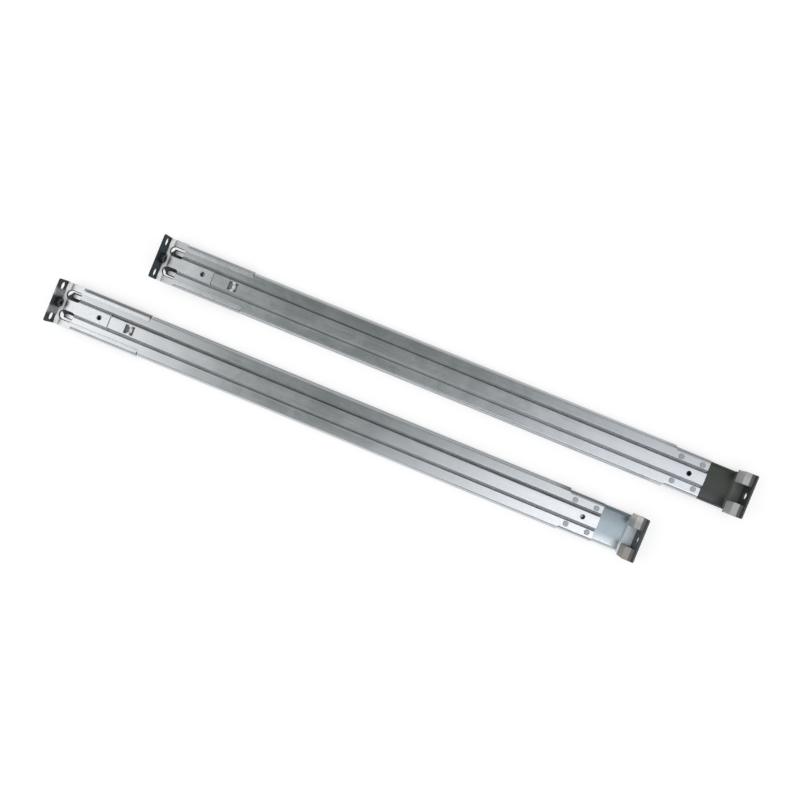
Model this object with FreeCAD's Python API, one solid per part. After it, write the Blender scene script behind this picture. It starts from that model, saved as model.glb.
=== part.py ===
import FreeCAD, Part
import math
import os
from FreeCAD import Vector

# Sliding server rail pair: two telescoping rack rails, mirror images, lying with the rack side up.
# One rail is modelled with X from its front flange's face to the rear, Y across it and Z up from
# the surface that it lies on. The left and right rails are placed copies of it. Millimetres.

# Rack and pair
RAIL_LENGTH = 610.0  # front flange face to rear flange face, at the shortest rack depth
RAIL_PITCH = 77.7  # between the centre lines of the two rails
RAIL_STAGGER = 78.4  # the right rail lies this far behind the left one
FLANGE_HALF = 21.9  # half the height of one rack unit, less clearance
RACK_HOLE_PITCH = 15.875
SIDE_CLEARANCE = 0.3  # raceways stand this far inside the flange's edges
RACK_HOLE_Z = 17.1
FLANGE_TOP = 26.6

# Distances ahead of the rear flange's face
OUTER_END_BACK = 40.2
RACE_END_BACK = 75.2
REAR_HOLE_BACK = 56.6
INTER_END_BACK = 180.0
INNER_END_BACK = 190.0
CHASSIS_HOLE_BACK = 225.0
STEM_END_BACK = 170.0
SET_BACK = 13.2  # where the rear plate steps up
GUIDE_BACK = (68.8, 46.8)

# Fits
GAP = 0.3  # between pieces that nest or move past each other
SAME = 0.05  # two places closer than this are one place
RIVET_GAP = 0.05  # rivet shank in its hole, radial
RACE_GAP = 0.12  # ball in its raceway, radial

# Ball rows
OUTER_BALL_R = 1.5
INNER_BALL_R = 1.25
OUTER_BALL_COUNT = 5
INNER_BALL_COUNT = 6
OUTER_BALL_STEP = 23.0
INNER_BALL_STEP = 26.0
OUTER_CAGE_X = (205.0, 315.0)
INNER_CAGE_X = (145.0, 295.0)
OUTER_CAGE_T = 0.5
INNER_CAGE_T = 0.4
BALL_FLAT = 0.863  # a faceted ball's flats lie this share of the radius from its centre
CAGE_FOOT = 0.6  # the lower edge of the cage strips
CAGE_RIM = 6.0  # left of the cage's web round its window

# Outer member, a roll-formed channel
OUTER_T = 1.5
WEB_TOP = 10.5
BAND_RISE = 1.4  # the middle band stands above the web
GROOVE_Y = 7.9
GROOVE_DEPTH = 1.8
GROOVE_FLOOR_HALF = 0.4
GROOVE_FLANK = 1.4
BAND_FLANK = 2.1
BEND_R = 1.0
WALL_BEND_R = 1.25
END_BEND_R = 2.8  # where the member has no raceways
RACE_NECK_R = 0.95
OUTER_FRONT_X = 18.5
BAND_X = 53.6  # where the middle band steps up
STEP_LENGTH = 0.6
NOTCH_Z = 5.96  # lower edge of the walls past the raceways
CORNER_CUT = 4.5
STOP_SLOTS_X = (72.2, 78.6)
STOP_SLOT_WIDTH = 3.4
STOP_SLOT_HALF = 4.4
STOP_RAMP = 1.6
STOP_LEDGE = 0.5  # level end of the pressed strip, inside the slots
STOP_ROOT = 0.12  # the strip runs this far into the band past the slots
STOP_CLEAR = 0.12  # the strip ends this far above the underside of the ball cage's web
ACCESS_HOLE_R = 2.5
FRONT_HOLE_X = 43.4

# Intermediate member
INTER_T = 1.4
INTER_FRONT_X = 19.0
INTER_FOOT = 1.0
OUTER_RACE_DEPTH = 0.3
INNER_RACE_DEPTH = 0.15
TONGUE_Y = 10.45
TONGUE_HALF = 2.6
TONGUE_TIP_X = 7.8
INTER_WINDOWS_X = (110.0, 345.0)
INTER_WINDOW = (60.0, 12.0)  # length and width
INTER_WINDOW_CUT = 3.0
LUG_X = (20.0, 24.0)
LUG_Y = (6.0, 9.0)
LUG_FOOT = 3.3

# Inner member, which carries the server
INNER_T = 1.4
INNER_FRONT_X = 2.0
INNER_FOOT = 0.3
CHASSIS_HOLE_X = 105.0
CHASSIS_HOLE_R = 2.25
KEYHOLES_X = (60.0, 330.0)
KEYHOLE_R = 4.5
KEYHOLE_SLOT_R = 2.5
KEYHOLE_SLOT = 9.0
NOSE_CUT = 5.0

# Release lever
LEVER_FRONT_X = 197.0
LEVER_PIVOT_X = 235.0
LEVER_HALF = 4.0
LEVER_T = 1.0
INNER_TRAVEL = 240.0
LEVER_LIFT = 0.3
HOOK_LENGTH = 4.5
HOOK_TOP = 3.75
PIVOT_R = 1.5
PIVOT_HEAD_R = 3.2
PIVOT_HEAD_T = 0.4
LEAF_T = 0.35
LEAF_ANCHOR_X = (158.0, 184.0)

# Front bracket
BRACKET_T = 1.6
ARM_INNER = 14.9
ARM_END_X = 90.0
ARM_LIP_X = 20.0
ARM_LIP_FOOT = 6.5
ARM_BEND_R = 2.8
FINGER_HALF = 6.0  # the middle finger
FINGER_GAP_X = 5.6
BRACKET_BEND_R = 1.4
FLANGE_CORNER_R = 2.0
RACK_HOLE_R = 4.0

# Clinch nut
NUT_FLAT = 4.2  # half the width across its flats
NUT_LENGTH = 4.0
NUT_SPIGOT_R = 3.2
NUT_BORE_R = 2.5

# Rear bracket
REAR_T = 1.8
STEM_CLEARANCE = 0.4
PLATE_INSET = 2.4  # the plate is this much narrower than the flange on each side
PLATE_BEND_R = 2.8
PLATE_LIP = 6.0  # width of the plate's folded edge
PLATE_LIP_FOOT = 2.0
SET_RISE = 1.5
SET_LENGTH = 1.8
REAR_BEND_R = 1.6
REAR_TRAVEL = 90.0
GUIDE_Y = 12.5
GUIDE_NECK_HALF = 2.0  # square neck, so that it can't turn in the web
GUIDE_HEAD_R = 2.7
GUIDE_HEAD_T = 0.7
GUIDE_HEAD_SIDES = 12
GUIDE_FOOT_HALF = 3.8
GUIDE_FOOT_T = 1.2
REAR_SCREW_R = 3.5

# Peg housings and pegs
HOUSING_INNER = 9.5
HOUSING_INSET = 0.1
HOUSING_TOP = 24.6
HOUSING_WALL = 1.8
HOUSING_EDGE = 1.0
PEG_HALF = 4.6
PEG_REACH = 2.0  # past the rear flange's face
PEG_TRAVEL = 4.5  # back into the housing
PEG_COLLAR_HALF = 5.1
PEG_COLLAR_T = 1.9
PEG_CHAMFER = 1.0
SPRING_SOLID = 1.7  # length of a peg's spring when it is pressed flat
SPRING_T = 0.4
SPRING_HALF = 3.0
SPRING_LEGS = 4

# Rear bumper
BUMPER_LENGTH = 6.5
BUMPER_HALF = 4.0
BUMPER_EDGE = 1.0

# Worked out from the sizes above
OUTER_HALF = FLANGE_HALF - SIDE_CLEARANCE
WEB_HALF = FLANGE_HALF - BRACKET_T - GAP
STEM_HALF = WEB_HALF - OUTER_T - STEM_CLEARANCE
PLATE_HALF = FLANGE_HALF - PLATE_INSET
HOUSING_Y = (HOUSING_INNER, FLANGE_HALF - HOUSING_INSET)
OUTER_X = (OUTER_FRONT_X, RAIL_LENGTH - OUTER_END_BACK)
RACE_X = (ARM_END_X + GAP, RAIL_LENGTH - RACE_END_BACK)
REAR_HOLE_X = RAIL_LENGTH - REAR_HOLE_BACK
INTER_X = (INTER_FRONT_X, RAIL_LENGTH - INTER_END_BACK)
INNER_X = (INNER_FRONT_X, RAIL_LENGTH - INNER_END_BACK)
CHASSIS_HOLES_X = (CHASSIS_HOLE_X, RAIL_LENGTH - CHASSIS_HOLE_BACK)
STEM_X = RAIL_LENGTH - STEM_END_BACK
SET_X = RAIL_LENGTH - SET_BACK
GUIDE_X = tuple(RAIL_LENGTH - back for back in GUIDE_BACK)
OUTER_RACE_R = OUTER_BALL_R + RACE_GAP
INNER_RACE_R = INNER_BALL_R + RACE_GAP
OUTER_BALL_Y = OUTER_HALF - OUTER_T - OUTER_RACE_R
OUTER_BALL_Z = OUTER_T + OUTER_RACE_R
INTER_OUTSIDE = OUTER_BALL_Y - OUTER_RACE_R + OUTER_RACE_DEPTH
INTER_INSIDE = INTER_OUTSIDE - INTER_T
INNER_BALL_Y = INTER_INSIDE + INNER_RACE_DEPTH - INNER_RACE_R
INNER_OUTSIDE = INNER_BALL_Y - INNER_RACE_R + INNER_RACE_DEPTH
INNER_INSIDE = INNER_OUTSIDE - INNER_T
GROOVE_FOOT = WEB_TOP - GROOVE_DEPTH - OUTER_T
OUTER_CAGE_TOP = GROOVE_FOOT - GAP
INTER_TOP = OUTER_CAGE_TOP - OUTER_CAGE_T - GAP
INNER_CAGE_TOP = INTER_TOP - INTER_T - GAP
INNER_TOP = INNER_CAGE_TOP - INNER_CAGE_T - GAP
INNER_BALL_Z = INNER_TOP - INNER_BALL_R
INNER_FLOOR = INNER_FOOT + INNER_T
BRACKET_TOP = WEB_TOP + BRACKET_T
REAR_TOP = GROOVE_FOOT - GAP
SET_TOP = REAR_TOP + SET_RISE
REAR_FACE = RAIL_LENGTH - REAR_T
PLATE_X = OUTER_X[1] + GAP
HOUSING_LENGTH = HOUSING_WALL + SPRING_SOLID + PEG_TRAVEL + PEG_COLLAR_T + GAP
HOUSING_X = REAR_FACE - HOUSING_LENGTH


def box(x_span, y_span, z_span):
    """Box between two X, two Y and two Z values."""
    spans = (x_span, y_span, z_span)
    lengths = [span[1] - span[0] for span in spans]
    return Part.makeBox(*lengths, Vector(*[span[0] for span in spans]))


def rod_x(y, z, x_span, radius):
    """Cylinder along X."""
    return Part.makeCylinder(radius, x_span[1] - x_span[0], Vector(x_span[0], y, z), Vector(1, 0, 0))


def rod_z(x, y, z_span, radius):
    """Cylinder along Z."""
    return Part.makeCylinder(radius, z_span[1] - z_span[0], Vector(x, y, z_span[0]))


def square_z(x, y, z_span, half):
    """Square bar along Z."""
    return box((x - half, x + half), (y - half, y + half), z_span)


def slot_z(x_span, y, z_span, half_width):
    """Round-ended slot along X, cut down through Z. x_span is the span of its end centres."""
    middle = box(x_span, (y - half_width, y + half_width), z_span)
    ends = [rod_z(x, y, z_span, half_width) for x in x_span]
    return middle.fuse(ends).removeSplitter()


def prism_z(x, y, z_span, radius, sides):
    """Upright prism with its corners at the radius."""
    turns = [2 * math.pi * i / sides for i in range(sides + 1)]
    corners = [Vector(x + radius * math.cos(a), y + radius * math.sin(a), z_span[0]) for a in turns]
    return Part.Face(Part.makePolygon(corners)).extrude(Vector(0, 0, z_span[1] - z_span[0]))


def upright_edges(block):
    """The edges of a block that run along Z."""
    return [edge for edge in block.Edges if edge.BoundBox.ZLength > SAME]


def mirrored(shape):
    """Mirror image across the rail's centre plane."""
    return shape.mirror(Vector(0, 0, 0), Vector(0, 1, 0))


def both_sides(shape):
    """A shape and its mirror image, as a list."""
    return [shape, mirrored(shape)]


def joined(shapes):
    """One solid from shapes that meet."""
    return shapes[0].fuse(shapes[1:]).removeSplitter()


def across(a, b):
    """Section point (y, z)."""
    return Vector(0, a, b)


def along(a, b):
    """Side view point (x, z)."""
    return Vector(a, 0, b)


def flat(a, b):
    """Plan point (x, y)."""
    return Vector(a, b, 0)


def bent_path(corners):
    """Lines and arcs through corners (a, b, bend radius). A radius of 0 leaves a sharp fold."""
    path = []
    here = corners[0][:2]
    fold_in = 0
    for before, corner, after in zip(corners, corners[1:], corners[2:]):
        heading_in = math.atan2(corner[1] - before[1], corner[0] - before[0])
        heading_out = math.atan2(after[1] - corner[1], after[0] - corner[0])
        turn = math.remainder(heading_out - heading_in, 2 * math.pi)
        radius = corner[2]
        if radius == 0:
            path.append(("line", here, corner[:2], fold_in, turn))
            here = corner[:2]
            fold_in = turn
            continue
        setback = radius * math.tan(abs(turn) / 2)
        start = (corner[0] - setback * math.cos(heading_in), corner[1] - setback * math.sin(heading_in))
        side = math.copysign(math.pi / 2, turn)
        centre = (
            start[0] + radius * math.cos(heading_in + side),
            start[1] + radius * math.sin(heading_in + side),
        )
        path.append(("line", here, start, fold_in, 0))
        path.append(("arc", centre, radius, heading_in - side, heading_in - side + turn))
        here = (corner[0] + setback * math.cos(heading_out), corner[1] + setback * math.sin(heading_out))
        fold_in = 0
    path.append(("line", here, corners[-1][:2], fold_in, 0))
    return path


def mirrored_path(path):
    """The same path on the other side of the centre line, walked the other way."""
    result = []
    for kind, *values in reversed(path):
        if kind == "line":
            start, end, fold_in, fold_out = values
            result.append(("line", (-end[0], end[1]), (-start[0], start[1]), fold_out, fold_in))
        else:
            centre, radius, start, end = values
            result.append(("arc", (-centre[0], centre[1]), radius, math.pi - end, math.pi - start))
    return result


def offset_curve(step, side, to_space):
    """One line or arc of a path, moved sideways by a signed distance and mitred at its folds."""
    kind, *values = step
    if kind == "line":
        (a0, b0), (a1, b1), fold_in, fold_out = values
        length = math.hypot(a1 - a0, b1 - b0)
        heading = ((a1 - a0) / length, (b1 - b0) / length)
        trim_in = side * math.tan(fold_in / 2)
        trim_out = -side * math.tan(fold_out / 2)
        ends = [
            to_space(a - heading[1] * side + heading[0] * trim, b + heading[0] * side + heading[1] * trim)
            for a, b, trim in ((a0, b0, trim_in), (a1, b1, trim_out))
        ]
        return Part.LineSegment(*ends).toShape()
    centre, radius, start, end = values
    reach = radius - side * math.copysign(1, end - start)
    points = [
        to_space(centre[0] + reach * math.cos(angle), centre[1] + reach * math.sin(angle))
        for angle in (start, (start + end) / 2, end)
    ]
    return Part.Arc(*points).toShape()


def strip_face(path, thickness, to_space):
    """Section of a bent sheet whose middle line is the path."""
    left = [offset_curve(step, thickness / 2, to_space) for step in path]
    right = [offset_curve(step, -thickness / 2, to_space) for step in path]
    caps = [
        Part.makeLine(left[0].valueAt(left[0].FirstParameter), right[0].valueAt(right[0].FirstParameter)),
        Part.makeLine(left[-1].valueAt(left[-1].LastParameter), right[-1].valueAt(right[-1].LastParameter)),
    ]
    return Part.Face(Part.Wire(Part.__sortEdges__(left + right + caps)))


def extruded_x(face, x_span):
    """Section face pulled from one X to another."""
    placed = face.translated(Vector(x_span[0], 0, 0))
    return placed.extrude(Vector(x_span[1] - x_span[0], 0, 0))


def extruded_y(face, half_width):
    """Side view face pulled to both sides of the centre plane."""
    placed = face.translated(Vector(0, -half_width, 0))
    return placed.extrude(Vector(0, 2 * half_width, 0))


def guide_places():
    """Centres of the four rear guide rivets."""
    return [(x, side * GUIDE_Y) for x in GUIDE_X for side in (-1, 1)]


def side_corners(foot_z, bend_r):
    """Corners of the outer member's middle line from the groove's floor outwards and down the wall."""
    web_z = WEB_TOP - OUTER_T / 2
    groove_z = web_z - GROOVE_DEPTH
    wall_y = WEB_HALF - OUTER_T / 2
    groove_outer = GROOVE_Y + GROOVE_FLOOR_HALF
    return [
        (GROOVE_Y - GROOVE_FLOOR_HALF, groove_z, 0),
        (groove_outer, groove_z, 0),
        (groove_outer + GROOVE_FLANK, web_z, 0),
        (wall_y, web_z, bend_r),
        (wall_y, foot_z, 0),
    ]


def outer_half_path(band_top, with_race):
    """Half the outer member's middle line, from the centre plane outwards."""
    middle_z = band_top - OUTER_T / 2
    flank = BAND_FLANK if band_top > WEB_TOP else GROOVE_FLANK
    band_half = GROOVE_Y - GROOVE_FLOOR_HALF - flank
    race_r = OUTER_RACE_R + OUTER_T / 2
    neck_y = WEB_HALF - OUTER_T / 2 + RACE_NECK_R
    neck_turn = math.acos((neck_y - OUTER_BALL_Y) / (race_r + RACE_NECK_R))
    neck_z = OUTER_BALL_Z + (race_r + RACE_NECK_R) * math.sin(neck_turn)
    side = side_corners(neck_z, WALL_BEND_R) if with_race else side_corners(NOTCH_Z, END_BEND_R)
    path = bent_path([(0, middle_z, 0), (band_half, middle_z, 0)] + side)
    if with_race:
        lip_z = OUTER_T / 2
        path.append(("arc", (neck_y, neck_z), RACE_NECK_R, math.pi, math.pi + neck_turn))
        path.append(("arc", (OUTER_BALL_Y, OUTER_BALL_Z), race_r, neck_turn, -math.pi / 2))
        lip_y = INTER_OUTSIDE + GAP + OUTER_CAGE_T + GAP
        path.append(("line", (OUTER_BALL_Y, lip_z), (lip_y, lip_z), 0, 0))
    return path


def outer_stretch(x_span, band_top, with_race):
    """A stretch of the outer member with one section."""
    half = outer_half_path(band_top, with_race)
    return extruded_x(strip_face(mirrored_path(half) + half, OUTER_T, across), x_span)


def band_step():
    """The short stretch where the middle band steps up, open at both grooves."""
    step_x = (BAND_X, BAND_X + STEP_LENGTH)
    side_path = bent_path(side_corners(NOTCH_Z, END_BEND_R))
    side = extruded_x(strip_face(side_path, OUTER_T, across), step_x)
    low = WEB_TOP - OUTER_T / 2
    ramp_corners = [
        along(step_x[0], low - OUTER_T / 2),
        along(step_x[1], low - OUTER_T / 2 + BAND_RISE),
        along(step_x[1], low + OUTER_T / 2 + BAND_RISE),
        along(step_x[0], low + OUTER_T / 2),
    ]
    ramp = extruded_y(Part.Face(Part.makePolygon(ramp_corners + ramp_corners[:1])), STOP_SLOT_HALF)
    return both_sides(side) + [ramp]


def stop_strip():
    """Strip of the middle band pressed down between two slots, in the way of the ball cage."""
    x_span = (STOP_SLOTS_X[0] + STOP_SLOT_WIDTH / 2, STOP_SLOTS_X[1] - STOP_SLOT_WIDTH / 2)
    top_z = WEB_TOP + BAND_RISE - OUTER_T / 2
    low_z = OUTER_CAGE_TOP - OUTER_CAGE_T + OUTER_T / 2 + STOP_CLEAR
    ramp_top_y = STOP_SLOT_HALF - STOP_LEDGE
    half = bent_path(
        [
            (0, low_z, 0),
            (ramp_top_y - STOP_RAMP, low_z, 0),
            (ramp_top_y, top_z, 0),
            (STOP_SLOT_HALF + STOP_ROOT, top_z, 0),
        ]
    )
    return extruded_x(strip_face(mirrored_path(half) + half, OUTER_T, across), x_span)


def outer_member():
    """Fixed channel with two grooves, a raised middle band and the outer raceways."""
    band_top = WEB_TOP + BAND_RISE
    step_end = BAND_X + STEP_LENGTH
    stretches = [
        outer_stretch((OUTER_X[0], BAND_X), WEB_TOP, False),
        outer_stretch((step_end, RACE_X[0]), band_top, False),
        outer_stretch(RACE_X, band_top, True),
        outer_stretch((RACE_X[1], OUTER_X[1]), band_top, False),
    ]
    member = joined(stretches + band_step())
    depth = (0, band_top + OUTER_T)
    slots_x = (STOP_SLOTS_X[0] - STOP_SLOT_WIDTH / 2, STOP_SLOTS_X[1] + STOP_SLOT_WIDTH / 2)
    cuts = [box(slots_x, (-STOP_SLOT_HALF, STOP_SLOT_HALF), depth)]
    cuts += [rod_z(x, 0, depth, ACCESS_HOLE_R) for x in (FRONT_HOLE_X, REAR_HOLE_X)]
    cuts += [square_z(x, y, depth, GUIDE_NECK_HALF + RIVET_GAP) for x, y in guide_places()]
    corner = Part.makePolygon(
        [
            flat(OUTER_X[0], WEB_HALF - CORNER_CUT),
            flat(OUTER_X[0] + CORNER_CUT, WEB_HALF),
            flat(OUTER_X[0], WEB_HALF),
            flat(OUTER_X[0], WEB_HALF - CORNER_CUT),
        ]
    )
    cuts += both_sides(Part.Face(corner).extrude(Vector(0, 0, depth[1])))
    return joined([member.cut(cuts), stop_strip()])


def intermediate_member():
    """Channel that runs on the outer balls and carries the inner ones, with a forked front end."""
    web_z = INTER_TOP - INTER_T / 2
    wall_y = INTER_OUTSIDE - INTER_T / 2
    half = bent_path([(0, web_z, 0), (wall_y, web_z, WALL_BEND_R), (wall_y, INTER_FOOT, 0)])
    section = strip_face(mirrored_path(half) + half, INTER_T, across)
    channel = extruded_x(section, INTER_X)
    web_span = (INTER_TOP - INTER_T, INTER_TOP)
    tongue = slot_z((TONGUE_TIP_X + TONGUE_HALF, INTER_X[0] + TONGUE_HALF), TONGUE_Y, web_span, TONGUE_HALF)
    lug = box(LUG_X, LUG_Y, (LUG_FOOT, INTER_TOP))
    member = joined([channel, lug] + both_sides(tongue))
    cuts = both_sides(rod_x(OUTER_BALL_Y, OUTER_BALL_Z, INTER_X, OUTER_RACE_R))
    cuts += both_sides(rod_x(INNER_BALL_Y, INNER_BALL_Z, INTER_X, INNER_RACE_R))
    half_length, half_width = (size / 2 for size in INTER_WINDOW)
    for x in INTER_WINDOWS_X:
        window = box((x - half_length, x + half_length), (-half_width, half_width), (0, WEB_TOP))
        cuts.append(window.makeChamfer(INTER_WINDOW_CUT, upright_edges(window)))
    return member.cut(cuts)


def keyhole(x):
    """Round entry with a narrow slot to the front, for a shoulder screw on the server."""
    depth = (0, INNER_TOP)
    entry = rod_z(x, 0, depth, KEYHOLE_R)
    slot = slot_z((x - KEYHOLE_SLOT, x), 0, depth, KEYHOLE_SLOT_R)
    return entry.fuse(slot).removeSplitter()


def inner_member():
    """Channel fixed to the server, open towards the other members, with a tapered nose."""
    web_z = INNER_FOOT + INNER_T / 2
    wall_y = INNER_OUTSIDE - INNER_T / 2
    half = bent_path([(0, web_z, 0), (wall_y, web_z, BEND_R), (wall_y, INNER_TOP, 0)])
    channel = extruded_x(strip_face(mirrored_path(half) + half, INNER_T, across), INNER_X)
    cuts = both_sides(rod_x(INNER_BALL_Y, INNER_BALL_Z, INNER_X, INNER_RACE_R))
    cuts += [keyhole(x) for x in KEYHOLES_X]
    cuts += [rod_z(x, 0, (0, INNER_TOP), CHASSIS_HOLE_R) for x in CHASSIS_HOLES_X]
    cuts.append(rod_z(LEVER_PIVOT_X, 0, (0, INNER_TOP), PIVOT_R + RIVET_GAP))
    nose = Part.makePolygon(
        [
            flat(INNER_X[0], INNER_OUTSIDE - NOSE_CUT),
            flat(INNER_X[0] + NOSE_CUT, INNER_OUTSIDE),
            flat(INNER_X[0], INNER_OUTSIDE),
            flat(INNER_X[0], INNER_OUTSIDE - NOSE_CUT),
        ]
    )
    cuts += both_sides(Part.Face(nose).extrude(Vector(0, 0, INNER_TOP)))
    return channel.cut(cuts)


def ball_places(cage_x, count, step):
    """X of each ball in a row, centred in its cage."""
    first = (cage_x[0] + cage_x[1] - step * (count - 1)) / 2
    return [first + i * step for i in range(count)]


def faceted_ball(radius):
    """Ball with 26 flat faces inside the sphere of the given radius: a cube with its edges cut off."""
    half = radius * BALL_FLAT
    cube = box((-half, half), (-half, half), (-half, half))
    return cube.makeChamfer(half * (2 - math.sqrt(2)), cube.Edges)


def balls(cage_x, count, step, y, z, radius):
    """The two rows of balls of one cage."""
    places = [(x, side * y) for side in (-1, 1) for x in ball_places(cage_x, count, step)]
    ball = faceted_ball(radius)
    return Part.makeCompound([ball.translated(Vector(x, row_y, z)) for x, row_y in places])


def cage(cage_x, count, step, strip_y, thickness, top, pocket_z, pocket_r):
    """U-shaped ball cage: a web with two strips, each with a square pocket for every ball."""
    middle_z = top - thickness / 2
    half = bent_path([(0, middle_z, 0), (strip_y, middle_z, thickness), (strip_y, CAGE_FOOT, 0)])
    body = extruded_x(strip_face(mirrored_path(half) + half, thickness, across), cage_x)
    reach = strip_y + thickness
    pockets = [
        box((x - pocket_r, x + pocket_r), (-reach, reach), (pocket_z - pocket_r, pocket_z + pocket_r))
        for x in ball_places(cage_x, count, step)
    ]
    window_x = (cage_x[0] + CAGE_RIM, cage_x[1] - CAGE_RIM)
    window = box(window_x, (CAGE_RIM - strip_y, strip_y - CAGE_RIM), (CAGE_FOOT, WEB_TOP))
    return body.cut(pockets + [window])


def outer_cage():
    """Cage between the outer and intermediate members."""
    strip_y = INTER_OUTSIDE + GAP + OUTER_CAGE_T / 2
    rows = (OUTER_CAGE_X, OUTER_BALL_COUNT, OUTER_BALL_STEP)
    return cage(*rows, strip_y, OUTER_CAGE_T, OUTER_CAGE_TOP, OUTER_BALL_Z, OUTER_BALL_R)


def inner_cage():
    """Cage between the intermediate and inner members."""
    rows = (INNER_CAGE_X, INNER_BALL_COUNT, INNER_BALL_STEP)
    return cage(*rows, INNER_BALL_Y, INNER_CAGE_T, INNER_CAGE_TOP, INNER_BALL_Z, INNER_RACE_R)


def outer_balls():
    """Balls between the outer and intermediate members."""
    return balls(OUTER_CAGE_X, OUTER_BALL_COUNT, OUTER_BALL_STEP, OUTER_BALL_Y, OUTER_BALL_Z, OUTER_BALL_R)


def inner_balls():
    """Balls between the intermediate and inner members."""
    return balls(INNER_CAGE_X, INNER_BALL_COUNT, INNER_BALL_STEP, INNER_BALL_Y, INNER_BALL_Z, INNER_BALL_R)


def rounded_flange_top(shape, x_middle, top, half, radius):
    """Rounds the two upper corners of an upright flange."""
    edges = [
        edge
        for edge in shape.Edges
        if abs(edge.BoundBox.ZLength) < SAME
        and abs(edge.BoundBox.YLength) < SAME
        and abs(edge.CenterOfMass.z - top) < SAME
        and abs(abs(edge.CenterOfMass.y) - half) < SAME
        and abs(edge.CenterOfMass.x - x_middle) < SAME
    ]
    return shape.makeFillet(radius, edges)


def folded_edge(x_span, y_span, middle_z, foot_z, thickness, bend_r):
    """Strip along X whose outer edge is folded down."""
    wall_y = y_span[1] - thickness / 2
    path = bent_path([(y_span[0], middle_z, 0), (wall_y, middle_z, bend_r), (wall_y, foot_z, 0)])
    return extruded_x(strip_face(path, thickness, across), x_span)


def front_bracket():
    """Rack flange folded up from a root with a middle finger and two side arms."""
    flange_x = BRACKET_T / 2
    root_z = WEB_TOP + BRACKET_T / 2
    path = bent_path(
        [
            (flange_x, FLANGE_TOP, 0),
            (flange_x, root_z, BRACKET_BEND_R),
            (ARM_END_X, root_z, 0),
        ]
    )
    body = extruded_y(strip_face(path, BRACKET_T, along), FLANGE_HALF)
    body = rounded_flange_top(body, flange_x, FLANGE_TOP, FLANGE_HALF, FLANGE_CORNER_R)
    depth = (WEB_TOP - OUTER_T, BRACKET_TOP + BRACKET_T)
    gap_half = (ARM_INNER - FINGER_HALF) / 2
    gap_y = FINGER_HALF + gap_half
    gap = slot_z((FINGER_GAP_X + gap_half, ARM_END_X + gap_half), gap_y, depth, gap_half)
    past_finger = box((BAND_X, ARM_END_X), (-FINGER_HALF - gap_half, FINGER_HALF + gap_half), depth)
    cuts = both_sides(gap) + [past_finger]
    cuts.append(rod_z(FRONT_HOLE_X, 0, depth, ACCESS_HOLE_R))
    flange_depth = (-BRACKET_T, 2 * BRACKET_T)
    for side in (-1, 1):
        cuts.append(rod_x(side * RACK_HOLE_PITCH, RACK_HOLE_Z, flange_depth, RACK_HOLE_R))
    cuts.append(rod_x(0, RACK_HOLE_Z, flange_depth, NUT_SPIGOT_R + RIVET_GAP))
    arm_x = (ARM_LIP_X, ARM_END_X)
    cuts += both_sides(box(arm_x, (ARM_INNER, FLANGE_HALF), depth))
    arm = folded_edge(arm_x, (ARM_INNER, FLANGE_HALF), root_z, ARM_LIP_FOOT, BRACKET_T, ARM_BEND_R)
    return joined([body.cut(cuts)] + both_sides(arm))


def front_nut():
    """Clinch nut behind the flange's middle hole."""
    corner_r = NUT_FLAT / math.cos(math.pi / 6)
    corners = [i * math.pi / 3 for i in range(7)]
    outline = [across(corner_r * math.cos(a), RACK_HOLE_Z + corner_r * math.sin(a)) for a in corners]
    face = Part.Face(Part.makePolygon(outline))
    body = extruded_x(face, (BRACKET_T, BRACKET_T + NUT_LENGTH))
    spigot = rod_x(0, RACK_HOLE_Z, (0, BRACKET_T), NUT_SPIGOT_R)
    bore = rod_x(0, RACK_HOLE_Z, (0, BRACKET_T + NUT_LENGTH), NUT_BORE_R)
    return body.fuse(spigot).removeSplitter().cut(bore)


def rear_bracket():
    """Depth-setting bracket: slotted stem, wide plate, a step up and the rear rack flange."""
    low = REAR_TOP - REAR_T / 2
    high = low + SET_RISE
    flange_x = RAIL_LENGTH - REAR_T / 2
    path = bent_path(
        [
            (STEM_X, low, 0),
            (SET_X, low, REAR_T),
            (SET_X + SET_LENGTH, high, REAR_T),
            (flange_x, high, REAR_BEND_R),
            (flange_x, FLANGE_TOP, 0),
        ]
    )
    body = extruded_y(strip_face(path, REAR_T, along), FLANGE_HALF)
    body = rounded_flange_top(body, flange_x, FLANGE_TOP, FLANGE_HALF, FLANGE_CORNER_R)
    depth = (low - REAR_T, SET_TOP + REAR_T)
    cuts = both_sides(box((STEM_X, PLATE_X), (STEM_HALF, FLANGE_HALF), depth))
    cuts += both_sides(box((PLATE_X, SET_X), (PLATE_HALF - PLATE_LIP, FLANGE_HALF), depth))
    cuts += both_sides(box((SET_X, SET_X + SET_LENGTH), (PLATE_HALF, FLANGE_HALF), depth))
    slot_half = GUIDE_NECK_HALF + GAP
    slot_x = (GUIDE_X[0] - REAR_TRAVEL - slot_half, GUIDE_X[1] + slot_half)
    cuts += both_sides(box(slot_x, (GUIDE_Y - slot_half, GUIDE_Y + slot_half), depth))
    peg_hole_half = PEG_HALF + GAP
    flange_depth = (REAR_FACE - REAR_T, RAIL_LENGTH + REAR_T)
    peg_hole = box(
        flange_depth,
        (RACK_HOLE_PITCH - peg_hole_half, RACK_HOLE_PITCH + peg_hole_half),
        (RACK_HOLE_Z - peg_hole_half, RACK_HOLE_Z + peg_hole_half),
    )
    cuts += both_sides(peg_hole)
    cuts.append(rod_x(0, RACK_HOLE_Z, flange_depth, REAR_SCREW_R))
    lip_y = (PLATE_HALF - PLATE_LIP, PLATE_HALF)
    lip = folded_edge((PLATE_X, SET_X), lip_y, low, PLATE_LIP_FOOT, REAR_T, PLATE_BEND_R)
    return joined([body.cut(cuts)] + both_sides(lip))


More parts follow.
